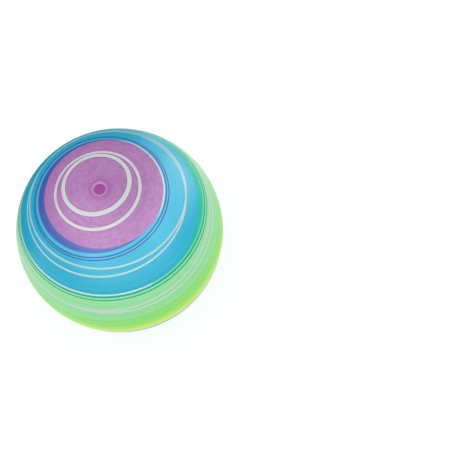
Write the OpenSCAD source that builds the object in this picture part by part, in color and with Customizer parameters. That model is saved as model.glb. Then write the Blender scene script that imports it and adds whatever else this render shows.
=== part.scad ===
// Inflatable vinyl play ball with rainbow bands and leaning pale lines round both poles.
// The origin is the centre of the ball and +Z runs out through the valve.
// A circle on the ball is [radius, tilt, toward]: its angular radius about its own pole, how far
// that pole leans from the end of the Z axis, and the compass direction of the lean, which turns
// from the front (-Y) toward +X. All of these are angles in degrees.
// The upper half counts from the valve pole, the lower half from the opposite pole.

/* [Ball] */
// Outside diameter of the inflated ball, over the ink
ball_d = 229; // [180:1:300]
// Wall of the vinyl skin
skin_wall = 0.7; // [0.5:0.1:2]
// Thickness of each colour coat sprayed on the skin
coat_film = 0.14; // [0.1:0.02:0.3]
// Thickness of the lines brushed on over the coats
line_film = 0.12; // [0.1:0.02:0.3]

/* [Lines] */
// Width of the broad line round each polar cap
broad_line_w = 4.8; // [3:0.1:6]
// Width of the second line round each polar cap
second_line_w = 3.5; // [2:0.1:5]
// Width of the narrow pale lines on the flanks
narrow_line_w = 1.9; // [1:0.1:2.6]
// Width of the hair lines that follow the colour edges
hair_line_w = 1.2; // [0.6:0.1:2]
// Gap left where a line stops short of one that it would cross
line_break = 0.2; // [0.1:0.1:0.5]

/* [Valve] */
// Diameter of the valve's flush disc, which fills the hole in the skin
neck_d = 19; // [17:0.5:24]
// Diameter of the flange bonded under the skin
flange_d = 34; // [28:0.5:44]
// Thickness of that flange
flange_t = 1.5; // [1:0.1:2.5]
// Diameter of the barrel that hangs inside the ball
barrel_d = 13; // [11:0.5:16]
// Length of the duckbill below the barrel's straight part
bill_l = 6; // [4:0.5:10]
// Thickness of the duckbill's closed lips
bill_lip_t = 2.4; // [1.6:0.1:4]
// Width of the groove round the flush disc, where the coat stops
rim_groove_w = 0.5; // [0.3:0.1:1]
// Width of the bevel that lets a fingernail under the plug's head
bevel_w = 2.2; // [1:0.1:3]
// Depth of that bevel at the plug's head
bevel_depth = 0.9; // [0.4:0.1:1.4]
// Bore of the needle passage
needle_bore_d = 2.3; // [2:0.1:3]
// Length of the needle passage
needle_bore_l = 8; // [5:0.5:12]
// Length of the funnel that leads the needle into its passage
funnel_l = 1.4; // [0.8:0.1:2.5]

/* [Plug] */
// Diameter of the plug's head
head_d = 10.4; // [8:0.1:12]
// Thickness of the head on the axis
head_t = 1.8; // [1.5:0.1:3]
// Diameter over the plug's ribs
rib_d = 5.1; // [4:0.1:6]
// Height of each rib above the shank
rib_h = 0.25; // [0.1:0.05:0.5]
// Length of each rib along the shank
rib_l = 1.2; // [0.6:0.1:1.4]
// Number of ribs
rib_n = 3; // [2:1:4]
// Length of the shank below the head
shank_l = 8.6; // [7:0.1:10]
// Bevel round the shank's tip
tip_bevel = 0.7; // [0.3:0.1:1]
// Gap all round between the plug and the valve
plug_gap = 0.05; // [0.02:0.01:0.1]
// Room below the tip of the seated plug
tip_room = 0.5; // [0.2:0.1:1]

/* [Hidden] */
$fn = 180;
overrun = 2;
ball_r = ball_d / 2;
skin_r = ball_r - coat_film;
hollow_r = skin_r - skin_wall;
line_r = ball_r + line_film;
reach = 2 * line_r;
neck_r = neck_d / 2;
groove_r = neck_r + rim_groove_w;
flange_r = flange_d / 2;
barrel_r = barrel_d / 2;
head_r = head_d / 2;
rib_r = rib_d / 2;
shank_r = rib_r - rib_h;
needle_r = needle_bore_d / 2;
seat_r = head_r + plug_gap;
plug_bore_r = rib_r + plug_gap;
bevel_r = seat_r + bevel_w;

// Heights along the valve's axis, from the centre of the ball
seat_z = ball_r - head_t;
shank_end_z = seat_z - shank_l;
plug_bore_end_z = shank_end_z - tip_room;
needle_mouth_z = plug_bore_end_z - funnel_l;
needle_end_z = needle_mouth_z - needle_bore_l;
bill_end_z = needle_end_z - bill_l;

half_turn_angle = 180;
// Edges between the coats, counted from the valve pole
purple_edge_angles = [31.6, 2.4, 134];
crescent_edge_angles = [33.2, 2.7, -155];
blue_edge_angles = [56.6, 2.1, 126];
green_edge_angles = [74.5, 1, 20];
lime_edge_angles = [86, 2, 30];
seam_angles = [92, 6.2, 0];
// Edges counted from the opposite pole
yellow_edge_s_angles = [30.4, 1.8, -115];
green_edge_s_angles = [52.8, 2.8, -160];
teal_edge_s_angles = [54.9, 2.4, -120];
blue_edge_s_angles = [75.2, 2.5, -110];
violet_edge_s_angles = [80.9, 1.9, -95];
seam_s_angles = [half_turn_angle - seam_angles.x, seam_angles.y, -seam_angles.z];

// Circles that the lines run round. Tables in _s count from the opposite pole.
pale_line_angles = [
    [16.7, 4.65, -177],
    [21.55, 2.55, -154],
    [44.1, 4.7, 143],
    [45, 1.3, 165],
    blue_edge_angles
];
pale_line_s_angles = [
    [63.6, 5.9, 165],
    [62.5, 2.7, -150],
    [87.5, 2, -110]
];
lilac_line_angles = [
    [64.6, 1.4, -70],
    [65.4, 2.85, 14]
];
lilac_line_s_angles = [
    [15.8, 4.9, -138],
    [20.45, 2.95, -155],
    [42.5, 4.4, -120],
    [42.85, 1.45, -55]
];
cyan_line_angles = [[34.1, 2.65, -152]];
cyan_line_s_angles = [[75.3, 2.4, -113]];
violet_line_angles = [
    [35.4, 2.85, -154],
    [36.65, 2.6, -154]
];
violet_line_s_angles = [
    [71.1, 2.2, -110],
    [73, 2.2, -110]
];
teal_line_angles = [
    [58.15, 2.3, 133],
    [60.1, 2.1, 130],
    [77, 1, 20]
];
teal_line_s_angles = [
    [32.4, 3, -168],
    [56.7, 2.4, -120]
];
lime_line_s_angles = [
    [33.6, 2.9, -165],
    [34.8, 2.7, -160]
];

// Half of the angle that a width spans on the ball's surface
function half_span(width) = width / ball_r * half_turn_angle / PI / 2;

// Lays its children round the pole of a circle
module leaning(circle_at) {
    rotate([circle_at.y, 0, circle_at.z]) children();
}

// Puts its children on the half that counts from the opposite pole
module opposite() {
    rotate([180, 0, 0]) children();
}

// Everything on the pole's side of a circle
module cap_side(edge) {
    leaning(edge) translate([0, 0, ball_r * cos(edge.x)]) cylinder(h = reach, r = reach);
}

// Coat inside one circle
module coat_in(edge) {
    intersection() {
        difference() {
            sphere(ball_r);
            sphere(skin_r);
        }
        cap_side(edge);
    }
}

// Coat between a circle and the one inside it
module coat_between(inner, outer) {
    difference() {
        coat_in(outer);
        cap_side(inner);
    }
}

// Line brushed round the ball over the coats: its outline is cut by two planes square to its axis
module line_ring(edge, width) {
    leaning(edge) rotate_extrude() intersection() {
        difference() {
            circle(line_r);
            circle(ball_r);
        }
        line_section(edge, width);
    }
}

// Half section of the slice of space between a line's two edges
module line_section(edge, width) {
    low = ball_r * cos(edge.x + half_span(width));
    high = ball_r * cos(edge.x - half_span(width));
    translate([0, low]) square([reach, high - low]);
}

// Lines of a table. Where two cross, the later one stops short of the earlier one.
module lines(circles, widths) {
    for (i = [0 : len(circles) - 1]) {
        difference() {
            line_ring(circles[i], widths[i]);
            for (j = [0 : 1 : i - 1]) {
                leaning(circles[j]) rotate_extrude() line_section(circles[j], widths[j] + 2 * line_break);
            }
        }
    }
}

// Half section of a layer of the ball, cut off at a distance from the axis
module layer_section(inner_r, outer_r, out_to) {
    intersection() {
        difference() {
            circle(outer_r);
            circle(inner_r);
        }
        square([out_to, reach]);
    }
}

// Half section of the valve before it is hollowed
module valve_section() {
    layer_section(hollow_r - flange_t, hollow_r, flange_r);
    layer_section(hollow_r - flange_t, ball_r, neck_r);
    translate([0, bill_end_z]) square([barrel_r, hollow_r - flange_t / 2 - bill_end_z]);
}

// Half section of the seat, the bevel, the plug's bore and the needle's passage
module valve_cut_section() {
    polygon([
        [0, needle_end_z],
        [needle_r, needle_end_z],
        [needle_r, needle_mouth_z],
        [plug_bore_r, plug_bore_end_z],
        [plug_bore_r, seat_z],
        [seat_r, seat_z],
        [seat_r, ball_r - bevel_depth],
        [bevel_r, ball_r],
        [bevel_r, ball_r + overrun],
        [0, ball_r + overrun]
    ]);
}

// Cuts one side of the duckbill down to its lip
module bill_side_cut() {
    bill_angle = atan((barrel_r - bill_lip_t / 2) / bill_l);
    translate([0, bill_lip_t / 2, bill_end_z]) {
        rotate([-bill_angle, 0, 0]) translate([-barrel_d, 0, -bill_l]) cube([2 * barrel_d, barrel_d, 3 * bill_l]);
    }
}

module skin() {
    color([0.93, 0.93, 0.9]) difference() {
        sphere(skin_r);
        sphere(hollow_r);
        cylinder(h = ball_r + overrun, r = neck_r);
    }
}

module valve_body() {
    color([0.66, 0.33, 0.64]) difference() {
        rotate_extrude() difference() {
            valve_section();
            valve_cut_section();
        }
        bill_side_cut();
        mirror([0, 1, 0]) bill_side_cut();
    }
}

module valve_plug() {
    color([0.62, 0.2, 0.58]) rotate_extrude() {
        intersection() {
            circle(ball_r);
            translate([0, seat_z]) square([head_r, head_t + overrun]);
        }
        polygon([
            [0, shank_end_z],
            [shank_r - tip_bevel, shank_end_z],
            [shank_r, shank_end_z + tip_bevel],
            [shank_r, seat_z],
            [0, seat_z]
        ]);
        rib_pitch = (shank_l - tip_bevel) / (rib_n + 1 / 2);
        for (i = [0 : rib_n - 1]) {
            translate([0, shank_end_z + tip_bevel + i * rib_pitch]) square([rib_r, rib_l]);
        }
    }
}

module purple_coat() {
    color([0.72, 0.47, 0.72]) {
        difference() {
            coat_in(purple_edge_angles);
            cylinder(h = reach, r = groove_r);
        }
        opposite() coat_between(violet_edge_s_angles, seam_s_angles);
    }
}

module violet_coat() {
    color([0.42, 0.42, 0.76]) {
        coat_between(purple_edge_angles, crescent_edge_angles);
        opposite() coat_between(blue_edge_s_angles, violet_edge_s_angles);
    }
}

module blue_coat() {
    color([0.25, 0.7, 0.86]) {
        difference() {
            coat_between(purple_edge_angles, blue_edge_angles);
            cap_side(crescent_edge_angles);
        }
        opposite() coat_between(teal_edge_s_angles, blue_edge_s_angles);
    }
}

module teal_coat() {
    color([0, 0.74, 0.62]) opposite() coat_between(green_edge_s_angles, teal_edge_s_angles);
}

module green_coat() {
    color([0.59, 0.87, 0.62]) {
        coat_between(blue_edge_angles, green_edge_angles);
        opposite() coat_between(yellow_edge_s_angles, green_edge_s_angles);
    }
}

module lime_coat() {
    color([0.59, 0.88, 0.43]) coat_between(green_edge_angles, lime_edge_angles);
}

module yellow_coat() {
    color([0.8, 0.92, 0.47]) {
        coat_between(lime_edge_angles, seam_angles);
        opposite() coat_in(yellow_edge_s_angles);
    }
}

module pale_lines() {
    color([0.84, 0.87, 0.86]) {
        lines(pale_line_angles, [broad_line_w, second_line_w, narrow_line_w, narrow_line_w, narrow_line_w]);
        opposite() lines(pale_line_s_angles, [narrow_line_w, narrow_line_w, second_line_w]);
    }
}

module lilac_lines() {
    color([0.76, 0.81, 0.85]) {
        lines(lilac_line_angles, [narrow_line_w, narrow_line_w]);
        opposite() lines(lilac_line_s_angles, [broad_line_w, second_line_w, narrow_line_w, narrow_line_w]);
    }
}

module cyan_lines() {
    color([0.22, 0.78, 0.88]) {
        lines(cyan_line_angles, [narrow_line_w]);
        opposite() lines(cyan_line_s_angles, [narrow_line_w]);
    }
}

module violet_lines() {
    color([0.35, 0.4, 0.75]) {
        lines(violet_line_angles, [hair_line_w, hair_line_w]);
        opposite() lines(violet_line_s_angles, [hair_line_w, hair_line_w]);
    }
}

module teal_lines() {
    color([0, 0.74, 0.62]) {
        lines(teal_line_angles, [narrow_line_w, hair_line_w, hair_line_w]);
        opposite() lines(teal_line_s_angles, [hair_line_w, narrow_line_w]);
    }
}

module lime_lines() {
    color([0.68, 0.9, 0.4]) opposite() lines(lime_line_s_angles, [hair_line_w, hair_line_w]);
}

skin();
valve_body();
valve_plug();
purple_coat();
violet_coat();
blue_coat();
teal_coat();
green_coat();
lime_coat();
yellow_coat();
pale_lines();
lilac_lines();
cyan_lines();
violet_lines();
teal_lines();
lime_lines();
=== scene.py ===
"""Looks of an inflatable vinyl play ball: sprayed coats, brushed lines, valve and a plain studio.

Every circle on the ball is a radius about its own pole, the tilt of that pole from the end of the
valve's axis, and the compass direction of the tilt, from the front (-Y) toward +X, in degrees.
"""

import logging
import math
from dataclasses import dataclass, replace
from enum import Enum

import bmesh
import bpy
import numpy as np
from mathutils import Matrix, Quaternion, Vector


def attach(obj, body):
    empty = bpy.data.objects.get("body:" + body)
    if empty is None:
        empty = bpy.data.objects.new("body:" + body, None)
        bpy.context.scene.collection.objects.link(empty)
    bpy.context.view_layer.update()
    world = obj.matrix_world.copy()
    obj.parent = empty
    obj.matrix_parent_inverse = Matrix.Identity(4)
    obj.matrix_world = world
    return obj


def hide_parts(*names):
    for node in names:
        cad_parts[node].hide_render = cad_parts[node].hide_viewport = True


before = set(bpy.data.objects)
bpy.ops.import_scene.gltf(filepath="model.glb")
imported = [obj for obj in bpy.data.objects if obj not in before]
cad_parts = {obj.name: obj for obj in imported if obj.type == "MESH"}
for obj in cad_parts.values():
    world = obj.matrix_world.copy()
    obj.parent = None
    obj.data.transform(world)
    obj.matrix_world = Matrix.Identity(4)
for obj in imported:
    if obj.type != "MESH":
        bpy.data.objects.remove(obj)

log = logging.getLogger("play_ball")

MM = 0.001
BALL_R = 114.5 * MM
COAT_FILM = 0.14 * MM
LINE_FILM = 0.12 * MM
VALVE_DISC_R = 9.5 * MM
GROOVE_R = 10 * MM

# How finely the films are swept
AZIMUTH_STEPS = 288
ROW_ANGLE = math.radians(1.25)
INSIDE_ROW_ANGLE = math.radians(3)

# Waves in one turn of a wandering hand
FEWEST_WAVES = 2
MOST_WAVES = 10

# What a film's mesh carries for its finish
BRUSH_PATH = "brush_path"
ACROSS = "across"

Colour = tuple[int, int, int]
Socket = bpy.types.NodeSocket
BLACK: Colour = (0, 0, 0)
WHITE: Colour = (255, 255, 255)


class Width:
    """Widths of the brushed lines in metres."""

    BROAD = 4.8 * MM
    SECOND = 3.5 * MM
    TEAL = 2.8 * MM
    LILAC_WASH = 2.8 * MM
    VIOLET_WASH = 2.6 * MM
    TEAL_STROKE = 2.4 * MM
    FAINT = 2.4 * MM
    MAUVE = 2.2 * MM
    LILAC = 2.0 * MM
    NARROW = 1.9 * MM
    BLUE = 1.6 * MM
    LIME_STROKE = 1.3 * MM
    HAIR = 1.2 * MM
    FINE = 0.9 * MM


class Pole(Enum):
    """End of the valve's axis that a circle is counted from."""

    VALVE = 1
    FAR = -1

    def turned(self, points: np.ndarray) -> np.ndarray:
        """Turns points from this pole's own frame into the ball's frame.

        Args:
            points: Places whose last axis is x, y and z.

        Returns:
            The places, turned half round the X axis for the far pole.
        """
        return points * np.array([1.0, self.value, self.value])


class StreakPath(Enum):
    """What the streaks of a finish run along."""

    BRUSH = "the path of the brush, kept in the piece's mesh"
    VALVE_AXIS = "rings round the valve's axis"


@dataclass(frozen=True)
class Circle:
    """Circle on the ball's surface, in degrees."""

    radius: float
    tilt: float = 0.0
    toward: float = 0.0

    def polar_angle(self, azimuth: np.ndarray) -> np.ndarray:
        """Gives how far the circle lies from the pole of the valve's axis.

        Args:
            azimuth: Compass directions in radians.

        Returns:
            The angle from the pole in each direction, in radians.
        """
        tilt = math.radians(self.tilt)
        along = math.sin(tilt) * np.cos(azimuth - math.radians(self.toward))
        spread = np.hypot(math.cos(tilt), along)
        half_width = np.arccos(math.cos(math.radians(self.radius)) / spread)
        return np.arctan2(along, math.cos(tilt)) + half_width

    def leaned(self, points: np.ndarray) -> np.ndarray:
        """Leans points that were laid round the pole, so that they lie round this circle's pole.

        Args:
            points: Places whose last axis is x, y and z.

        Returns:
            The leaned places.
        """
        tilt = Matrix.Rotation(math.radians(self.tilt), 3, "X")
        turn = Matrix.Rotation(math.radians(self.toward), 3, "Z")
        return points @ np.array(turn @ tilt).T


# Edges between the coats, counted from the valve's pole
VALVE_DISC = Circle(math.degrees(math.asin(VALVE_DISC_R / BALL_R)))
GROOVE = Circle(math.degrees(math.asin(GROOVE_R / BALL_R)))
# Outer edge of the ring of painted shade round the valve's groove
GROOVE_SHADE_EDGE = Circle(5.9, 0.3, 40)
PURPLE_EDGE = Circle(31.6, 2.4, 134)
CRESCENT_EDGE = Circle(33.2, 2.7, -155)
BLUE_EDGE = Circle(56.6, 2.1, 126)
TEAL_BLUSH_EDGE = Circle(56.5, 4, -90)
GREEN_EDGE = Circle(74.5, 1, 20)
LIME_EDGE = Circle(86, 2, 30)
SEAM = Circle(92, 6.2, 0)
# Edges counted from the far pole
YELLOW_SPOT_EDGE = Circle(2.8)
YELLOW_EDGE_FAR = Circle(30.4, 1.8, -115)
GREEN_EDGE_FAR = Circle(52.8, 2.8, -160)
TEAL_EDGE_FAR = Circle(54.9, 2.4, -120)
BLUE_EDGE_FAR = Circle(75.2, 2.5, -110)
VIOLET_EDGE_FAR = Circle(80.9, 1.9, -95)
SEAM_FAR = Circle(88, 6.2, 0)


def place(polar: np.ndarray, azimuth: np.ndarray, radius: np.ndarray) -> np.ndarray:
    """Places points on spheres round the ball's centre.

    Args:
        polar: Angles from the pole in radians.
        azimuth: Compass directions in radians.
        radius: Distances from the centre in metres.

    Returns:
        The points, with x, y and z on the last axis.
    """
    polar, azimuth, radius = np.broadcast_arrays(polar, azimuth, radius)
    flat = radius * np.sin(polar)
    return np.stack([flat * np.sin(azimuth), -flat * np.cos(azimuth), radius * np.cos(polar)], -1)


def hand_drift(azimuth: np.ndarray, seed: int, depth: float) -> np.ndarray:
    """Gives the slow wander of a brush over one turn of the ball.

    Args:
        azimuth: Compass directions in radians.
        seed: Number of the turn, which sets its wander.
        depth: Size of the wander.

    Returns:
        The wander in each direction, which closes on itself.
    """
    chance = np.random.default_rng(seed)
    waves = np.arange(FEWEST_WAVES, MOST_WAVES + 1)
    size = chance.normal(size=waves.size) / waves
    phase = chance.uniform(0, 2 * math.pi, waves.size)
    return depth * (size[:, None] * np.sin(waves[:, None] * azimuth + phase[:, None])).sum(0)


def bearing(azimuth: float, elevation: float = 0.0) -> Vector:
    """Gives the unit direction from the ball's centre to a compass direction and height in degrees."""
    a, e = math.radians(azimuth), math.radians(elevation)
    return Vector((math.sin(a) * math.cos(e), -math.cos(a) * math.cos(e), math.sin(e)))


def grey(level: float) -> tuple[float, float, float, float]:
    """Gives the grey of a brightness, in the numbers that a shader takes."""
    return (level, level, level, 1.0)


def toward(colour: Colour, other: Colour, share: float) -> Colour:
    """Gives a colour moved by a share of the way toward another one."""
    return tuple(round(a + (b - a) * share) for a, b in zip(colour, other))


def linear(colour: Colour) -> tuple[float, float, float, float]:
    """Turns a colour as it is seen, 0 to 255, into a shader's numbers, by the sRGB curve."""
    shares = [c / 255 for c in colour]
    return (*[s / 12.92 if s <= 0.04045 else ((s + 0.055) / 1.055) ** 2.4 for s in shares], 1.0)


@dataclass(frozen=True)
class Pattern:
    """Noise, with its scale and detail, and the two values between which it fades in."""

    scale: float
    detail: float
    low: float = 0.0
    high: float = 1.0


class NodeBench:
    """Short ways to lay and join the nodes of one material."""

    def __init__(self, tree: bpy.types.NodeTree) -> None:
        """Starts on a tree of nodes."""
        self.tree = tree

    def join(self, source: object, socket: Socket) -> None:
        """Gives a socket its value.

        Args:
            source: Another socket, or a plain number, vector or colour.
            socket: The input that takes it.
        """
        if isinstance(source, Socket):
            self.tree.links.new(source, socket)
        else:
            socket.default_value = source

    def lay(self, kind: str, settings: dict[str, object], *values: object) -> bpy.types.Node:
        """Lays one node.

        Args:
            kind: Name of the node's type after ShaderNode.
            settings: Attributes of the node.
            *values: What its inputs take in order. None leaves one as it is.

        Returns:
            The node.
        """
        node = self.tree.nodes.new("ShaderNode" + kind)
        for name, value in settings.items():
            setattr(node, name, value)
        for socket, value in zip(node.inputs, values):
            if value is not None:
                self.join(value, socket)
        return node

    def sum(self, operation: str, *values: object) -> Socket:
        """Does one sum on numbers."""
        return self.lay("Math", {"operation": operation}, *values).outputs[0]

    def band(self, value: object, low: float, high: float) -> Socket:
        """Rises smoothly from 0 at low to 1 at high."""
        settings = {"interpolation_type": "SMOOTHSTEP"}
        return self.lay("MapRange", settings, value, low, high).outputs[0]

    def mixed(self, share: object, first: object, second: object) -> Socket:
        """Mixes two colours by a share."""
        node = self.lay("Mix", {"data_type": "RGBA"})
        self.join(share, node.inputs["Factor"])
        self.join(first, node.inputs[6])
        self.join(second, node.inputs[7])
        return node.outputs[2]

    def noise(self, dimensions: str, socket: str, source: object, pattern: Pattern) -> Socket:
        """Lays one noise texture.

        Args:
            dimensions: 1D along a path, or 3D in space.
            socket: Name of the input that says where the noise is read.
            source: What goes into that input.
            pattern: Scale and detail of the noise.

        Returns:
            The noise, about 0.5 on average.
        """
        node = self.lay("TexNoise", {"noise_dimensions": dimensions})
        self.join(source, node.inputs[socket])
        node.inputs["Scale"].default_value = pattern.scale
        node.inputs["Detail"].default_value = pattern.detail
        return node.outputs["Fac"]

    def grain(self, here: object, pattern: Pattern) -> Socket:
        """Gives a cloudy pattern in space, about 0.5 on average."""
        return self.noise("3D", "Vector", here, pattern)

    def clouds(self, here: object, pattern: Pattern) -> Socket:
        """Gives separate clouds in space, from 0 between them to 1 inside."""
        return self.band(self.grain(here, pattern), pattern.low, pattern.high)

    def streaks(self, path: object, pattern: Pattern) -> Socket:
        """Gives streaks across a path, about 0.5 on average."""
        return self.noise("1D", "W", path, pattern)

    def reach(self, here: object) -> Socket:
        """Gives how far a point lies from the valve's axis."""
        flat = self.lay("VectorMath", {"operation": "MULTIPLY"}, here, (1.0, 1.0, 0.0)).outputs[0]
        return self.lay("VectorMath", {"operation": "LENGTH"}, flat).outputs["Value"]


@dataclass(frozen=True)
class Finish:
    """Satin ink or vinyl, laid on while the ball turned.

    It turns from its near colour to its far one over the blend, a stretch of the piece's width as two
    shares. Thick ink is deep and thin ink is pale, and without colours of their own both follow near.
    """

    name: str
    slot: str
    near: Colour
    far: Colour | None = None
    deep: Colour | None = None
    pale: Colour | None = None
    blend: tuple[float, float] = (0.0, 1.0)
    streak: float = 0.35
    streak_mm: float = 2.4
    wander_mm: float = 1.6
    mottle: float = 0.12
    roughness: float = 0.34
    gloss: float = 0.35
    turning_marks: float = 0.0
    path: StreakPath = StreakPath.BRUSH

    DEEPER_SHARE = 0.12
    PALER_SHARE = 0.2
    SUBSURFACE_SHARE = 0.04
    SUBSURFACE_DEPTH = 2 * MM
    STREAK_DETAIL = 3
    FINE_STREAKS = 3.4
    FINE_STREAK_DETAIL = 2
    THICK_LOAD = (0.5, 0.86)
    THIN_LOAD = (0.5, 0.2)
    SPRAY_SHARE = 0.16
    ROUGHNESS_SPREAD = 0.12
    STREAK_RELIEF = 1.4
    BUMP_STRENGTH = 0.16
    BUMP_HEIGHT = 0.06 * MM
    WANDER = Pattern(16, 2)
    PATCHES = Pattern(22, 3, 0.35, 0.68)
    BLOTCHES = Pattern(210, 4, 0.44, 0.66)
    SPECKLE = Pattern(620, 3, 0.42, 0.72)
    SKIN_GRAIN = Pattern(1500, 2)
    RINGS = Pattern(900, 2, 0.46, 0.66)
    RING_WANDER = Pattern(60, 2)
    RING_WANDER_DEPTH = 4 * MM
    RING_REACH = (21 * MM, 8 * MM)

    def material(self) -> bpy.types.Material:
        """Builds the finish, or gives it back if it is already there.

        Returns:
            The material.
        """
        found = bpy.data.materials.get(self.name)
        if found is not None:
            return found
        material = bpy.data.materials.new(self.name)
        material.use_nodes = True
        bench = NodeBench(material.node_tree)
        shader = material.node_tree.nodes["Principled BSDF"]
        shader.inputs["Specular IOR Level"].default_value = self.gloss
        shader.inputs["Subsurface Weight"].default_value = self.SUBSURFACE_SHARE
        shader.inputs["Subsurface Scale"].default_value = self.SUBSURFACE_DEPTH
        here = bench.lay("TexCoord", {}).outputs["Object"]
        marks, across = self.marks_and_width(bench, here)
        load = self.load(bench, here, marks)
        bench.join(self.inked(bench, here, load, across), shader.inputs["Base Color"])
        smoothest = self.roughness - self.ROUGHNESS_SPREAD / 2
        rough = bench.sum("MULTIPLY_ADD", load, self.ROUGHNESS_SPREAD, smoothest)
        bench.join(rough, shader.inputs["Roughness"])
        skin_grain = bench.grain(here, self.SKIN_GRAIN)
        height = bench.sum("MULTIPLY_ADD", load, self.STREAK_RELIEF, skin_grain)
        bump = bench.lay("Bump", {}, self.BUMP_STRENGTH, self.BUMP_HEIGHT)
        bench.join(height, bump.inputs["Height"])
        bench.join(bump.outputs["Normal"], shader.inputs["Normal"])
        return material

    def load(self, bench: NodeBench, here: Socket, marks: Socket) -> Socket:
        """Gives how thick the ink lies: broad streaks everywhere, and finer ones in patches.

        Args:
            bench: Where the nodes are laid.
            here: Place of the point in metres.
            marks: Distance across the streaks in millimetres.

        Returns:
            The load of ink, about 0.5 on average.
        """
        path = bench.sum("MULTIPLY_ADD", bench.grain(here, self.WANDER), self.wander_mm, marks)
        broad = bench.streaks(path, Pattern(1 / self.streak_mm, self.STREAK_DETAIL))
        fine_streaks = Pattern(self.FINE_STREAKS / self.streak_mm, self.FINE_STREAK_DETAIL)
        fine = bench.streaks(path, fine_streaks)
        patches = bench.clouds(here, self.PATCHES)
        loose = bench.sum("MULTIPLY", bench.sum("SUBTRACT", fine, 0.5), patches)
        return bench.sum("ADD", broad, loose)

    def inked(self, bench: NodeBench, here: Socket, load: Socket, across: Socket) -> Socket:
        """Gives the colour of the ink, with its streaks, blotches and speckle.

        Args:
            bench: Where the nodes are laid.
            here: Place of the point in metres.
            load: How thick the ink lies.
            across: Share of the piece's width.

        Returns:
            The colour.
        """
        deep = linear(self.deep or toward(self.near, BLACK, self.DEEPER_SHARE))
        pale = linear(self.pale or toward(self.near, WHITE, self.PALER_SHARE))
        turned = bench.band(across, *self.blend)
        colour = bench.mixed(turned, linear(self.near), linear(self.far or self.near))
        thick = bench.sum("MULTIPLY", bench.band(load, *self.THICK_LOAD), self.streak)
        thin = bench.sum("MULTIPLY", bench.band(load, *self.THIN_LOAD), self.streak)
        colour = bench.mixed(thin, bench.mixed(thick, colour, deep), pale)
        if self.turning_marks:
            colour = bench.mixed(self.valve_rings(bench, here), colour, deep)
        blotch = bench.sum("MULTIPLY", bench.clouds(here, self.BLOTCHES), self.mottle)
        colour = bench.mixed(blotch, colour, deep)
        speckle = bench.clouds(here, self.SPECKLE)
        spray = bench.sum("MULTIPLY", speckle, self.SPRAY_SHARE * self.streak)
        return bench.mixed(spray, colour, deep)

    def marks_and_width(self, bench: NodeBench, here: Socket) -> tuple[Socket, Socket]:
        """Gives where a point lies along the streaks' path.

        Args:
            bench: Where the nodes are laid.
            here: Place of the point in metres.

        Returns:
            The distance across the streaks in millimetres, and the share of the piece's width.
        """
        if self.path is StreakPath.BRUSH:
            marks = bench.lay("Attribute", {"attribute_name": BRUSH_PATH}).outputs["Fac"]
            return marks, bench.lay("Attribute", {"attribute_name": ACROSS}).outputs["Fac"]
        reach = bench.reach(here)
        return bench.sum("MULTIPLY", reach, 1 / MM), bench.band(reach, 0.0, GROOVE_R)

    def valve_rings(self, bench: NodeBench, here: Socket) -> Socket:
        """Gives the rings that the ink left where it ran round the valve.

        Args:
            bench: Where the nodes are laid.
            here: Place of the point in metres.

        Returns:
            How much deeper the ink is there, from 0 to 1.
        """
        reach = bench.reach(here)
        wander = bench.grain(here, self.RING_WANDER)
        path = bench.sum("MULTIPLY_ADD", wander, self.RING_WANDER_DEPTH, reach)
        ring = bench.band(bench.streaks(path, self.RINGS), self.RINGS.low, self.RINGS.high)
        near_valve = bench.band(reach, *self.RING_REACH)
        return bench.sum("MULTIPLY", bench.sum("MULTIPLY", ring, near_valve), self.turning_marks)


@dataclass
class FilmDraft:
    """Grid of points swept round the ball, column by column, before it becomes a mesh.

    Each point has its place along the streaks' path in millimetres and its share of the width.
    """

    points: np.ndarray
    path: np.ndarray
    across: np.ndarray
    closed: bool

    def add_to(self, build: bmesh.types.BMesh) -> None:
        """Adds the film to a mesh as a closed solid.

        Args:
            build: Mesh that takes it. It has the float layers of the path and the share.
        """
        columns, rows = self.points.shape[:2]
        path_layer = build.verts.layers.float[BRUSH_PATH]
        across_layer = build.verts.layers.float[ACROSS]
        grid = []
        for i in range(columns):
            for j in range(rows):
                vertex = build.verts.new(self.points[i, j])
                vertex[path_layer] = self.path[i, j]
                vertex[across_layer] = self.across[i, j]
                grid.append(vertex)
        last = columns if self.closed else columns - 1
        for i in range(last):
            ahead = (i + 1) % columns
            for j in range(rows):
                up = (j + 1) % rows
                corners = (i * rows + j, i * rows + up, ahead * rows + up, ahead * rows + j)
                build.faces.new([grid[c] for c in corners])
        if not self.closed:
            build.faces.new(grid[:rows])
            build.faces.new(grid[:-rows - 1:-1])


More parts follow.
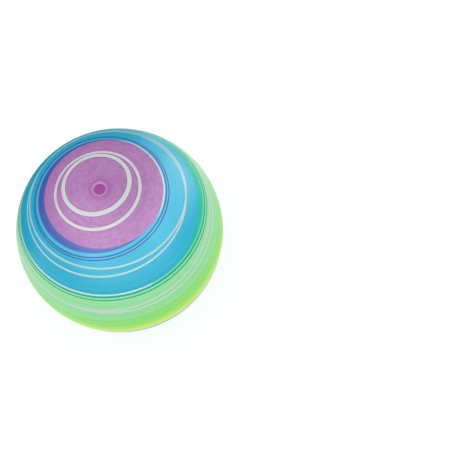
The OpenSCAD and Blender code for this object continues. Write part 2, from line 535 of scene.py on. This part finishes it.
@dataclass(frozen=True)
class Coat:
    """Film sprayed between two edges. Where an edge has several circles, the outermost one counts.

    Its wander and its least width are in radians.
    """

    inner: tuple[Circle, ...]
    outer: tuple[Circle, ...]
    lift: float = 0.0
    film: float = COAT_FILM

    STEADY = (VALVE_DISC, GROOVE, SEAM, SEAM_FAR, YELLOW_SPOT_EDGE)
    WANDER = 0.0009
    SEEDS_PER_DEGREE = 10
    LEAST_WIDTH = 1e-5
    LEAST_ROWS = 2

    def wandered(self, circle: Circle, azimuth: np.ndarray) -> np.ndarray:
        """Gives the polar angle of one circle, with the hand's wander where it isn't a steady one.

        Args:
            circle: The circle.
            azimuth: Compass directions in radians.

        Returns:
            The angle from the pole in each direction, in radians.
        """
        angle = circle.polar_angle(azimuth)
        if circle in self.STEADY:
            return angle
        return angle + hand_drift(azimuth, round(self.SEEDS_PER_DEGREE * circle.radius), self.WANDER)

    def edge(self, circles: tuple[Circle, ...], azimuth: np.ndarray) -> np.ndarray:
        """Gives the polar angle of one edge, which is the pole itself where it has no circle.

        Args:
            circles: Circles that the edge follows.
            azimuth: Compass directions in radians.

        Returns:
            The angle from the pole in each direction, in radians.
        """
        if not circles:
            return np.zeros_like(azimuth)
        return np.max([self.wandered(circle, azimuth) for circle in circles], axis=0)

    def drafts(self) -> list[FilmDraft]:
        """Sweeps the coat's section round the ball, or along the one crescent where it has a width.

        Returns:
            The draft of the ring or of the crescent.
        """
        azimuth = np.linspace(0, 2 * math.pi, AZIMUTH_STEPS, endpoint=False)
        inner, outer = self.edge(self.inner, azimuth), self.edge(self.outer, azimuth)
        wide = outer - inner > self.LEAST_WIDTH
        if wide.all():
            return [self.sweep(azimuth, inner, outer, True)]
        start = int(np.flatnonzero(wide & ~np.roll(wide, 1))[0])
        count = int(np.flatnonzero(~np.roll(wide, -start))[0])
        tips = 2 * math.pi / AZIMUTH_STEPS * np.arange(start - 1, start + count + 1)
        inner, outer = self.edge(self.inner, tips), self.edge(self.outer, tips)
        outer[[0, -1]] = inner[[0, -1]] + self.LEAST_WIDTH
        return [self.sweep(tips, inner, outer, False)]

    def sweep(
        self, azimuth: np.ndarray, inner: np.ndarray, outer: np.ndarray, closed: bool
    ) -> FilmDraft:
        """Sweeps the section of the coat along one stretch.

        Args:
            azimuth: Compass directions of the columns in radians.
            inner: Polar angle of the inner edge in each direction.
            outer: Polar angle of the outer edge in each direction.
            closed: Whether the stretch runs all the way round.

        Returns:
            The draft of the film.
        """
        widest = float((outer - inner).max())
        top_rows = max(self.LEAST_ROWS, math.ceil(widest / ROW_ANGLE))
        under_rows = max(self.LEAST_ROWS, math.ceil(widest / INSIDE_ROW_ANGLE))
        share = np.concatenate([np.linspace(0, 1, top_rows + 1), np.linspace(1, 0, under_rows + 1)])
        top = BALL_R + self.lift
        radius = np.concatenate([np.full(top_rows + 1, top), np.full(under_rows + 1, top - self.film)])
        polar = inner[:, None] + (outer - inner)[:, None] * share
        points = place(polar, azimuth[:, None], radius)
        middle = inner.mean() + (outer.mean() - inner.mean()) * share
        path = np.broadcast_to(middle * BALL_R / MM, polar.shape)
        return FilmDraft(points, path, np.broadcast_to(share, polar.shape), closed)


@dataclass(frozen=True)
class BrushedLine:
    """Line brushed round a circle. It starts and sweeps in degrees, and turns lay one over another.

    With a fade, its colour comes in over that many degrees at either end, and not across its width.
    Its width wanders by a share, and its path by radians.
    """

    circle: Circle
    width: float
    start: float = 0.0
    sweep: float = 360.0
    turn: int = 0
    film: float = LINE_FILM
    fade: float = 0.0

    SECTION_SHARES = (
        (-1, -0.2),
        (-0.88, 0.6),
        (-0.62, 0.95),
        (0, 1),
        (0.62, 0.95),
        (0.88, 0.6),
        (1, -0.2),
    )
    TAPER = math.radians(9)
    TIP_SHARE = 0.03
    TIP_ROUNDNESS = 0.6
    TURN_LIFT = 0.012 * MM
    WIDTH_WANDER = 0.06
    PATH_WANDER = 0.0003
    SEEDS_PER_DEGREE = 100
    LEAST_STEPS = 8

    def drafts(self) -> list[FilmDraft]:
        """Sweeps the line's low rounded section round its circle.

        Returns:
            The draft of the line.
        """
        closed = self.sweep >= 360
        seed = round(self.SEEDS_PER_DEGREE * self.circle.radius) + self.turn
        steps = max(self.LEAST_STEPS, round(AZIMUTH_STEPS * min(self.sweep, 360) / 360))
        columns = steps if closed else steps + 1
        shares = np.linspace(0, 1, columns, endpoint=not closed)
        from_tip = np.minimum(shares, 1 - shares)
        azimuth = math.radians(self.start - self.circle.toward) + math.radians(self.sweep) * shares
        half = self.width / 2 / BALL_R * (1 + hand_drift(azimuth, seed, self.WIDTH_WANDER))
        centre = math.radians(self.circle.radius) + hand_drift(azimuth, seed + 1, self.PATH_WANDER)
        height = np.full(columns, self.film + self.turn * self.TURN_LIFT)
        if not closed:
            run_out = from_tip * math.radians(self.sweep) / self.TAPER
            run_out = np.clip(run_out, self.TIP_SHARE, 1) ** self.TIP_ROUNDNESS
            half, height = half * run_out, height * run_out
        across, up = np.array(self.SECTION_SHARES).T
        polar = centre[:, None] + half[:, None] * across
        points = place(polar, azimuth[:, None], BALL_R + height[:, None] * up)
        path = np.broadcast_to(across * self.width / 2 / MM + seed, polar.shape)
        shade = np.broadcast_to((across + 1) / 2, polar.shape)
        if self.fade:
            come_in = np.clip(from_tip * self.sweep / self.fade, 0, 1)
            shade = np.broadcast_to(come_in[:, None], polar.shape)
        return [FilmDraft(self.circle.leaned(points), path, shade, closed)]


@dataclass
class InkLayer:
    """Everything of one ink on one half of the ball, as one piece."""

    name: str
    finish: Finish
    pole: Pole
    films: tuple[Coat | BrushedLine, ...]
    node: str | None = None
    smooth_as_ball: bool = True

    WELD = 1e-7
    SHARP_ANGLE = math.radians(50)
    LEAST_OUTWARD = 0.7

    def build(self) -> bpy.types.Object:
        """Builds, dresses and places the piece.

        Returns:
            The piece.
        """
        build = bmesh.new()
        build.verts.layers.float.new(BRUSH_PATH)
        build.verts.layers.float.new(ACROSS)
        for film in self.films:
            for draft in film.drafts():
                draft.points = self.pole.turned(draft.points)
                draft.add_to(build)
        bmesh.ops.remove_doubles(build, verts=build.verts, dist=self.WELD)
        bmesh.ops.recalc_face_normals(build, faces=build.faces)
        mesh = bpy.data.meshes.new(self.name)
        build.to_mesh(mesh)
        build.free()
        mesh.materials.append(self.finish.material())
        self.smooth(mesh)
        piece = bpy.data.objects.new(self.name, mesh)
        bpy.context.scene.collection.objects.link(piece)
        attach(piece, "ball")
        if self.node:
            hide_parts(self.node)
        log.info("%s: %d faces", self.name, len(mesh.polygons))
        return piece

    def smooth(self, mesh: bpy.types.Mesh) -> None:
        """Gives a coat the ball's own roundness, and a line its soft shoulders.

        Args:
            mesh: Mesh of the piece.
        """
        mesh.shade_smooth()
        mesh.set_sharp_from_angle(angle=self.SHARP_ANGLE)
        if not self.smooth_as_ball:
            return
        normals = []
        for face in mesh.polygons:
            for corner in face.vertices:
                outward = mesh.vertices[corner].co.normalized()
                side = face.normal.dot(outward)
                round_face = abs(side) > self.LEAST_OUTWARD
                normals.append(outward * math.copysign(1, side) if round_face else face.normal)
        mesh.normals_split_custom_set(normals)


PURPLE = Finish(
    "purple satin ink",
    "purple_ink",
    near=(178, 124, 182),
    far=(178, 122, 182),
    deep=(154, 84, 158),
    pale=(192, 150, 198),
    streak=0.3,
    streak_mm=3.6,
    wander_mm=22,
    mottle=0.34,
    turning_marks=0.85,
)
DEEP_PURPLE = Finish(
    "deep purple satin ink",
    "purple_ink",
    near=(186, 104, 186),
    far=(158, 60, 152),
    deep=(140, 50, 140),
    pale=(204, 140, 204),
)
# Deeper purple: ink pooled in the groove round the valve, and painted shade of the groove in a ring
# just outside it
POOLED_INK_AND_SHADE_PURPLE = Finish("purple ink pooled in the groove and painted shade", "purple_ink", near=(170, 98, 172))
MAGENTA_EDGE = Finish("magenta wet edge", "purple_ink", near=(168, 82, 166))
VIOLET = Finish(
    "violet satin ink",
    "violet_ink",
    near=(62, 97, 180),
    far=(68, 93, 181),
    deep=(52, 64, 164),
    pale=(70, 115, 192),
)
VIOLET_HAIR = Finish("violet hair lines", "violet_ink", near=(48, 62, 170), pale=(60, 84, 186))
VIOLET_WASH = Finish(
    "violet wash",
    "violet_ink",
    near=(66, 170, 214),
    far=(92, 146, 216),
    deep=(78, 100, 196),
)
MAUVE = Finish("mauve stripe", "violet_ink", near=(150, 108, 190), streak=0.6)
BLUE = Finish(
    "blue satin ink",
    "blue_ink",
    near=(36, 182, 214),
    far=(0, 177, 210),
    deep=(0, 164, 208),
    pale=(74, 196, 226),
    streak=0.3,
    streak_mm=3.2,
)
BLUE_LINE = Finish("deep blue line", "blue_ink", near=(0, 140, 200))
CYAN = Finish("bright cyan ink", "cyan_ink", near=(44, 190, 222))
TEAL = Finish("teal satin ink", "teal_ink", near=(0, 190, 165), pale=(8, 198, 176), gloss=0.1)
TEAL_BLUSH = Finish(
    "teal blush",
    "teal_ink",
    near=(8, 184, 212),
    far=(0, 199, 168),
    deep=(0, 186, 158),
    pale=(16, 206, 184),
    blend=(0, 0.5),
    gloss=0.2,
)
GREEN = Finish(
    "light green satin ink",
    "green_ink",
    near=(156, 231, 170),
    far=(146, 231, 146),
    deep=(116, 210, 144),
    streak_mm=3,
)
FAINT_GREEN = Finish("faint green line", "green_ink", near=(150, 220, 164))
LIME = Finish(
    "lime satin ink",
    "lime_ink",
    near=(132, 234, 82),
    far=(158, 240, 46),
    deep=(106, 216, 60),
    blend=(0.45, 1.0),
    streak_mm=3,
)
LIME_LINE = Finish(
    "yellow green lines",
    "lime_ink",
    near=(222, 222, 208),
    far=(172, 228, 126),
    deep=(150, 212, 104),
)
YELLOW = Finish(
    "yellow satin ink",
    "yellow_ink",
    near=(197, 244, 30),
    far=(199, 246, 34),
    deep=(182, 228, 30),
    pale=(208, 246, 76),
    gloss=0.25,
)
YELLOW_CAP = Finish(
    "yellow cap ink",
    "yellow_ink",
    near=(208, 238, 112),
    far=(208, 236, 118),
    deep=(192, 228, 84),
)
YELLOW_SPOT = Finish("yellow spot", "yellow_ink", near=(202, 238, 86), deep=(187, 227, 72))
PALE = Finish("pale brushed ink", "pale_ink", near=(205, 212, 211), deep=(182, 194, 195), streak_mm=1.4)
PALE_STROKE = Finish(
    "pale ink that runs out",
    "pale_ink",
    near=(44, 190, 222),
    far=(208, 222, 216),
    streak_mm=1.4,
)
SILVER = Finish(
    "silvery brushed ink",
    "pale_ink",
    near=(188, 210, 210),
    deep=(172, 198, 200),
    streak_mm=1.4,
)
CREAM = Finish(
    "cream brushed ink",
    "pale_ink",
    near=(222, 226, 220),
    deep=(204, 212, 208),
    streak_mm=1.4,
)
LILAC = Finish(
    "lilac brushed ink",
    "lilac_ink",
    near=(206, 218, 218),
    deep=(188, 204, 204),
    pale=(220, 226, 230),
    streak_mm=1.4,
)
SKIN = Finish("bare milky vinyl", "skin_vinyl", near=(236, 236, 228), path=StreakPath.VALVE_AXIS)
# Far and blend darken the disc's outer rim next to the groove: painted shade of the groove
VALVE = Finish(
    "valve vinyl",
    "valve_vinyl",
    near=(196, 142, 198),
    far=(158, 84, 160),
    deep=(162, 86, 164),
    pale=(206, 162, 210),
    blend=(0.8, 0.97),
    streak=0.7,
    streak_mm=1.2,
    mottle=0.3,
    turning_marks=0.5,
    path=StreakPath.VALVE_AXIS,
)
PLUG = Finish(
    "plug vinyl",
    "plug_vinyl",
    near=(154, 42, 148),
    deep=(138, 26, 134),
    pale=(182, 88, 178),
    streak=0.7,
    streak_mm=1.3,
    wander_mm=6,
    mottle=0.5,
    path=StreakPath.VALVE_AXIS,
)


@dataclass
class Inks:
    """All the coats and lines, as the two halves of the ball carry them."""

    thin_film: float = 0.05 * MM
    thin_lift: float = 0.03 * MM
    groove_lift: float = -0.09 * MM
    wet_edge: float = 1.1 * MM

    def coats(self) -> list[InkLayer]:
        """Lists the sprayed coats.

        Returns:
            The coats of both halves.
        """
        near, far = Pole.VALVE, Pole.FAR
        crescent = (PURPLE_EDGE, CRESCENT_EDGE)
        rows = (
            ("purple_cap_coat", PURPLE, near, (GROOVE,), (PURPLE_EDGE,), "purple_coat"),
            ("violet_crescent_coat", VIOLET, near, (PURPLE_EDGE,), crescent, "violet_coat"),
            ("blue_upper_coat", BLUE, near, crescent, (BLUE_EDGE,), "blue_coat"),
            ("green_upper_coat", GREEN, near, (BLUE_EDGE,), (GREEN_EDGE,), "green_coat"),
            ("lime_upper_coat", LIME, near, (GREEN_EDGE,), (LIME_EDGE,), "lime_coat"),
            ("yellow_waist_coat", YELLOW, near, (LIME_EDGE,), (SEAM,), "yellow_coat"),
            ("yellow_cap_coat", YELLOW_CAP, far, (), (YELLOW_EDGE_FAR,), "yellow_coat"),
            ("green_lower_coat", GREEN, far, (YELLOW_EDGE_FAR,), (GREEN_EDGE_FAR,), "green_coat"),
            ("teal_lower_coat", TEAL, far, (GREEN_EDGE_FAR,), (TEAL_EDGE_FAR,), "teal_coat"),
            ("blue_lower_coat", BLUE, far, (TEAL_EDGE_FAR,), (BLUE_EDGE_FAR,), "blue_coat"),
            ("violet_lower_coat", VIOLET, far, (BLUE_EDGE_FAR,), (VIOLET_EDGE_FAR,), "violet_coat"),
            ("purple_waist_coat", DEEP_PURPLE, far, (VIOLET_EDGE_FAR,), (SEAM_FAR,), "purple_coat"),
        )
        return [
            InkLayer(name, finish, pole, (Coat(inner, outer),), node)
            for name, finish, pole, inner, outer, node in rows
        ]

    def blushes(self) -> list[InkLayer]:
        """Lists the thin second coats that lie over the first ones, the painted shade round the groove
        among them.

        Returns:
            The second coats.
        """
        blush = Coat((TEAL_BLUSH_EDGE,), (TEAL_BLUSH_EDGE, BLUE_EDGE), self.thin_lift, self.thin_film)
        spot = Coat((), (YELLOW_SPOT_EDGE,), self.thin_lift, self.thin_film)
        # The groove's film is deeper purple: ink pooled in the groove, darkened further as painted
        # shade
        groove = Coat((VALVE_DISC,), (GROOVE,), self.groove_lift, self.thin_film)
        # Painted shade: a ring of deeper purple just outside the groove, round the valve
        groove_shade_coat = Coat((GROOVE,), (GROOVE_SHADE_EDGE,), self.thin_lift, self.thin_film)
        return [
            InkLayer("purple_groove_film", POOLED_INK_AND_SHADE_PURPLE, Pole.VALVE, (groove,)),
            InkLayer("valve_edge_painted_shade", POOLED_INK_AND_SHADE_PURPLE, Pole.VALVE, (groove_shade_coat,)),
            InkLayer("teal_blush_coat", TEAL_BLUSH, Pole.VALVE, (blush,)),
            InkLayer("yellow_spot_coat", YELLOW_SPOT, Pole.FAR, (spot,)),
        ]

    def upper_lines(self) -> list[InkLayer]:
        """Lists the brushed lines of the valve's half.

        Returns:
            The layers of lines.
        """
        thin = self.thin_film
        cap_lines = (
            (Circle(16.7, 4.65, -177), Width.BROAD),
            (Circle(21.55, 2.55, -154), Width.SECOND),
        )
        wet = [
            BrushedLine(circle, width + self.wet_edge, film=thin)
            for circle, width in cap_lines
        ]
        cap = [BrushedLine(circle, width) for circle, width in cap_lines]
        cyan_circle = Circle(34.1, 2.65, -152)
        violet_wash = Circle(36.05, 2.7, -154)
        lilac_wash = Circle(64.7, 2.1, -8)
        return [
            self.layer("cap_wet_edges", MAGENTA_EDGE, *wet),
            self.layer("pale_cap_lines", PALE, *cap, node="pale_lines"),
            self.layer(
                "pale_flank_lines",
                SILVER,
                BrushedLine(Circle(44.1, 4.7, 143), Width.NARROW),
                BrushedLine(Circle(45, 1.3, 165), Width.NARROW, turn=1),
                node="pale_lines",
            ),
            self.layer(
                "pale_edge_line",
                CREAM,
                BrushedLine(BLUE_EDGE, Width.NARROW),
                node="pale_lines",
            ),
            self.layer(
                "pale_edge_stroke",
                PALE_STROKE,
                BrushedLine(cyan_circle, Width.NARROW, start=28, sweep=114, turn=1, fade=26),
            ),
            self.layer(
                "cyan_upper_line",
                CYAN,
                BrushedLine(cyan_circle, Width.NARROW),
                node="cyan_lines",
            ),
            self.layer(
                "violet_wash_stroke",
                VIOLET_WASH,
                BrushedLine(violet_wash, Width.VIOLET_WASH, start=76, sweep=184, film=thin, fade=24),
            ),
            self.layer(
                "violet_upper_lines",
                VIOLET_HAIR,
                BrushedLine(Circle(35.4, 2.85, -154), Width.HAIR),
                BrushedLine(Circle(36.65, 2.6, -154), Width.HAIR),
                node="violet_lines",
            ),
            self.layer(
                "teal_upper_lines",
                TEAL,
                BrushedLine(Circle(58.15, 2.3, 133), Width.TEAL),
                BrushedLine(Circle(60.1, 2.1, 130), Width.NARROW),
                node="teal_lines",
            ),
            self.layer(
                "teal_edge_stroke",
                TEAL_BLUSH,
                BrushedLine(BLUE_EDGE, Width.TEAL_STROKE, start=-8, sweep=150, turn=1, fade=30),
            ),
            self.layer(
                "lime_upper_strokes",
                LIME_LINE,
                BrushedLine(BLUE_EDGE, Width.LIME_STROKE, start=-14, sweep=190, turn=2, fade=28),
                BrushedLine(Circle(59.1, 2.3, 132), Width.FINE, start=-100, sweep=215, turn=3, fade=20),
                BrushedLine(Circle(61.2, 2.2, 130), Width.FINE, start=-90, sweep=190, turn=3, fade=20),
            ),
            self.layer(
                "lilac_upper_lines",
                LILAC,
                BrushedLine(Circle(64.6, 1.4, -70), Width.LILAC),
                BrushedLine(Circle(65.4, 2.85, 14), Width.LILAC, turn=1),
                node="lilac_lines",
            ),
            self.layer(
                "lilac_wash_stroke",
                LILAC,
                BrushedLine(lilac_wash, Width.LILAC_WASH, start=-86, sweep=66, film=thin),
            ),
            self.layer(
                "faint_upper_line",
                FAINT_GREEN,
                BrushedLine(Circle(77, 1, 20), Width.FAINT, film=thin),
            ),
        ]

    def lower_lines(self) -> list[InkLayer]:
        """Lists the brushed lines of the far half.

        Returns:
            The layers of lines.
        """
        layers = [
            self.layer(
                "lilac_lower_lines",
                LILAC,
                BrushedLine(Circle(15.8, 4.9, -138), Width.BROAD),
                BrushedLine(Circle(20.45, 2.95, -155), Width.SECOND),
                BrushedLine(Circle(42.5, 4.4, -120), Width.NARROW),
                BrushedLine(Circle(42.85, 1.45, -55), Width.NARROW, turn=1),
                node="lilac_lines",
            ),
            self.layer(
                "teal_lower_lines",
                TEAL,
                BrushedLine(Circle(32.4, 3, -168), Width.HAIR),
                BrushedLine(Circle(56.7, 2.4, -120), Width.NARROW),
                BrushedLine(Circle(58.3, 2.3, -120), Width.FINE),
                node="teal_lines",
            ),
            self.layer(
                "lime_lower_lines",
                LIME_LINE,
                BrushedLine(Circle(33.6, 2.9, -165), Width.HAIR),
                BrushedLine(Circle(34.8, 2.7, -160), Width.HAIR),
                node="lime_lines",
            ),
            self.layer("blue_lower_line", BLUE_LINE, BrushedLine(TEAL_EDGE_FAR, Width.BLUE)),
            self.layer(
                "pale_lower_line",
                PALE,
                BrushedLine(Circle(62.5, 2.7, -150), Width.NARROW, turn=1),
                node="pale_lines",
            ),
            self.layer(
                "cream_lower_lines",
                CREAM,
                BrushedLine(Circle(63.6, 5.9, 165), Width.NARROW),
                BrushedLine(Circle(87.5, 2, -110), Width.HAIR),
                BrushedLine(Circle(87.5, 2, -110), Width.SECOND, start=-115, sweep=230, turn=1),
                node="pale_lines",
            ),
            self.layer(
                "violet_lower_lines",
                VIOLET_HAIR,
                BrushedLine(Circle(71.1, 2.2, -110), Width.HAIR),
                BrushedLine(Circle(73, 2.2, -110), Width.HAIR),
                node="violet_lines",
            ),
            self.layer(
                "cyan_lower_line",
                CYAN,
                BrushedLine(Circle(75.3, 2.4, -113), Width.NARROW),
                node="cyan_lines",
            ),
            self.layer(
                "mauve_lower_stripe",
                MAUVE,
                BrushedLine(Circle(78.2, 2.3, -105), Width.MAUVE, film=self.thin_film),
            ),
        ]
        return [replace(layer, pole=Pole.FAR) for layer in layers]

    def layer(
        self, name: str, finish: Finish, *films: BrushedLine, node: str | None = None
    ) -> InkLayer:
        """Makes one layer of brushed lines of the valve's half.

        Args:
            name: Name of the piece.
            finish: Ink of the lines.
            *films: The lines.
            node: CAD node that the lines stand for.

        Returns:
            The layer.
        """
        return InkLayer(name, finish, Pole.VALVE, films, node, smooth_as_ball=False)

    def build(self) -> None:
        """Builds every coat and line."""
        for layer in [*self.coats(), *self.blushes(), *self.upper_lines(), *self.lower_lines()]:
            layer.build()


@dataclass
class Mouldings:
    """The skin, the valve and its plug, which keep their exact solids and get their finishes."""

    finishes: tuple[tuple[str, Finish], ...] = (
        ("skin", SKIN),
        ("valve_body", VALVE),
        ("valve_plug", PLUG),
    )

    def dress(self) -> None:
        """Gives each moulding its finish."""
        for node, finish in self.finishes:
            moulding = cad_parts[node]
            moulding.data.materials.clear()
            moulding.data.materials.append(finish.material())
            log.info("%s: dressed in %s", node, finish.name)


@dataclass(frozen=True)
class Lamp:
    """Soft lamp that looks at the ball. Its angles are in degrees and its sizes in metres.

    Its radiance is the brightness of its face, where 1 is white. A card is seen by gloss alone, and
    a lamp that is no card is hidden from gloss.
    """

    name: str
    azimuth: float
    elevation: float
    distance: float
    size: tuple[float, float]
    radiance: float
    roll: float = 0.0
    card: bool = True

    def hang(self) -> None:
        """Hangs the lamp."""
        width, height = self.size
        lamp = bpy.data.lights.new(self.name, "AREA")
        lamp.shape = "RECTANGLE"
        lamp.size, lamp.size_y = self.size
        lamp.energy = self.radiance * math.pi * width * height
        holder = bpy.data.objects.new(self.name, lamp)
        outward = bearing(self.azimuth, self.elevation)
        holder.location = outward * self.distance
        holder.rotation_mode = "QUATERNION"
        rolled = Quaternion((0, 0, 1), math.radians(self.roll))
        holder.rotation_quaternion = outward.to_track_quat("Z", "Y") @ rolled
        holder.visible_camera = False
        holder.visible_diffuse = not self.card
        holder.visible_glossy = self.card
        bpy.context.scene.collection.objects.link(holder)


@dataclass
class Studio:
    """Plain pale floor, soft light and the camera at the photograph's angle.

    The camera's place is in ball radii from the ball's centre.
    """

    room_light: float = 0.86
    floor_span: float = 6.0
    floor_cells: int = 8
    floor_glow: float = 0.66
    floor_light: float = 0.85
    floor_greys: tuple[float, float] = (0.42, 0.44)
    dark_card_size: tuple[float, float] = (0.7, 0.275)
    dark_card_azimuth: float = -163.0
    dark_card_distance: float = 0.237
    dark_card_cells: int = 4
    felt_greys: tuple[float, float] = (0.02, 0.04)
    focal_px: float = 620.0
    image_px: float = 460.0
    sensor_mm: float = 36.0
    camera_at: tuple[float, float, float] = (-0.00191, -2.50352, 5.73385)
    camera_right: tuple[float, float, float] = (0.86397, -0.50248, -0.03270)
    camera_down: tuple[float, float, float] = (-0.48057, -0.80343, -0.35151)

    PAPER_GRAIN = Pattern(3, 3)
    FELT_GRAIN = Pattern(40, 3)
    LAMPS = (
        Lamp("ceiling_light", -20, 72, 1.4, (1.3, 1.3), 0.45, card=False),
        Lamp("overhead_card", -11, 38, 1, (2.2, 1), 2.1),
        Lamp("side_card", -80, 66, 1, (1.3, 1.1), 2.4),
        Lamp("window_card", 83, 27, 0.5, (1.2, 0.32), 3.2, roll=-41),
    )

    def seen_share(self, bench: NodeBench) -> Socket:
        """Gives 1 for rays that show the background, seen straight, mirrored or through glass."""
        rays = bench.lay("LightPath", {}).outputs
        mirrored = bench.sum("MAXIMUM", rays["Is Glossy Ray"], rays["Is Transmission Ray"])
        return bench.sum("MAXIMUM", rays["Is Camera Ray"], mirrored)

    def room(self) -> None:
        """Makes the white room, which lights the ball at a plain level."""
        world = bpy.data.worlds.new("white room")
        bpy.context.scene.world = world
        world.use_nodes = True
        bench = NodeBench(world.node_tree)
        background = world.node_tree.nodes["Background"]
        background.inputs["Color"].default_value = grey(1)
        lift = 1 - self.room_light
        strength = bench.sum("MULTIPLY_ADD", self.seen_share(bench), lift, self.room_light)
        bench.join(strength, background.inputs["Strength"])

    def sheet(self, name: str, cells: int, span: float = 1.0) -> bpy.types.Object:
        """Makes a flat square sheet round the origin.

        Args:
            name: Name of the sheet.
            cells: Cells along each side.
            span: Length of its side in metres.

        Returns:
            The sheet, which isn't in the scene yet.
        """
        build = bmesh.new()
        bmesh.ops.create_grid(build, x_segments=cells, y_segments=cells, size=span / 2)
        mesh = bpy.data.meshes.new(name)
        build.to_mesh(mesh)
        build.free()
        return bpy.data.objects.new(name, mesh)

    def floor(self) -> None:
        """Lays the floor under the ball."""
        floor = self.sheet("pale_floor", self.floor_cells, self.floor_span)
        floor.location.z = -BALL_R
        bpy.context.scene.collection.objects.link(floor)
        floor.data.materials.append(self.paper())

    def paper(self) -> bpy.types.Material:
        """Makes the floor's pale paper. Seen from below it is clear, so that the far pole shows.

        Returns:
            The material.
        """
        material = bpy.data.materials.new("pale floor")
        material.use_nodes = True
        bench = NodeBench(material.node_tree)
        nodes = material.node_tree.nodes
        nodes.remove(nodes["Principled BSDF"])
        here = bench.lay("TexCoord", {}).outputs["Object"]
        seen = self.seen_share(bench)
        paper = bench.mixed(bench.grain(here, self.PAPER_GRAIN), *map(grey, self.floor_greys))
        matt = bench.lay("BsdfDiffuse", {}, bench.mixed(seen, grey(self.floor_light), paper)).outputs[0]
        glow = bench.sum("MULTIPLY", seen, self.floor_glow)
        glowing = bench.lay("Emission", {}, grey(1), glow).outputs[0]
        lit = bench.lay("AddShader", {}, matt, glowing).outputs[0]
        under = bench.lay("NewGeometry", {}).outputs["Backfacing"]
        clear = bench.lay("BsdfTransparent", {}).outputs[0]
        shown = bench.lay("MixShader", {}, under, lit, clear).outputs[0]
        bench.join(shown, nodes["Material Output"].inputs["Surface"])
        return material

    def dark_card(self) -> None:
        """Stands a dark card close behind the ball, which only the gloss of its far edge mirrors."""
        width, height = self.dark_card_size
        card = self.sheet("dark_card", self.dark_card_cells)
        outward = bearing(self.dark_card_azimuth)
        card.scale = (width, height, 1)
        card.location = outward * self.dark_card_distance + Vector((0, 0, height / 2 - BALL_R))
        card.rotation_mode = "QUATERNION"
        card.rotation_quaternion = outward.to_track_quat("Z", "Y")
        card.visible_camera = False
        card.visible_diffuse = False
        card.visible_transmission = False
        card.visible_shadow = False
        bpy.context.scene.collection.objects.link(card)
        card.data.materials.append(self.felt())

    def felt(self) -> bpy.types.Material:
        """Makes the dark card's felt, which has no gloss of its own.

        Returns:
            The material.
        """
        material = bpy.data.materials.new("dark felt")
        material.use_nodes = True
        bench = NodeBench(material.node_tree)
        shader = material.node_tree.nodes["Principled BSDF"]
        here = bench.lay("TexCoord", {}).outputs["Object"]
        cloth = bench.mixed(bench.grain(here, self.FELT_GRAIN), *map(grey, self.felt_greys))
        bench.join(cloth, shader.inputs["Base Color"])
        shader.inputs["Roughness"].default_value = 1.0
        shader.inputs["Specular IOR Level"].default_value = 0.0
        return material

    def camera(self) -> None:
        """Sets the camera where the photograph was taken from."""
        data = bpy.data.cameras.new("camera")
        data.sensor_width = self.sensor_mm
        data.lens = self.focal_px / self.image_px * self.sensor_mm
        camera = bpy.data.objects.new("camera", data)
        right, down = Vector(self.camera_right).normalized(), Vector(self.camera_down).normalized()
        axes = Matrix((right, -down, down.cross(right))).transposed().to_4x4()
        camera.matrix_world = Matrix.Translation(Vector(self.camera_at) * BALL_R) @ axes
        bpy.context.scene.collection.objects.link(camera)
        bpy.context.scene.camera = camera

    def build(self) -> None:
        """Builds the whole studio."""
        self.room()
        self.floor()
        for lamp in self.LAMPS:
            lamp.hang()
        self.dark_card()
        self.camera()
        bpy.context.scene.view_settings.view_transform = "Standard"
        log.info("studio: room, floor, %d lamps, dark card and camera", len(self.LAMPS))


def main() -> None:
    """Builds and dresses the ball and its studio."""
    logging.basicConfig(level=logging.INFO, format="%(name)s: %(message)s")
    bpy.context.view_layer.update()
    Inks().build()
    Mouldings().dress()
    Studio().build()


if __name__ == "__main__":
    main()
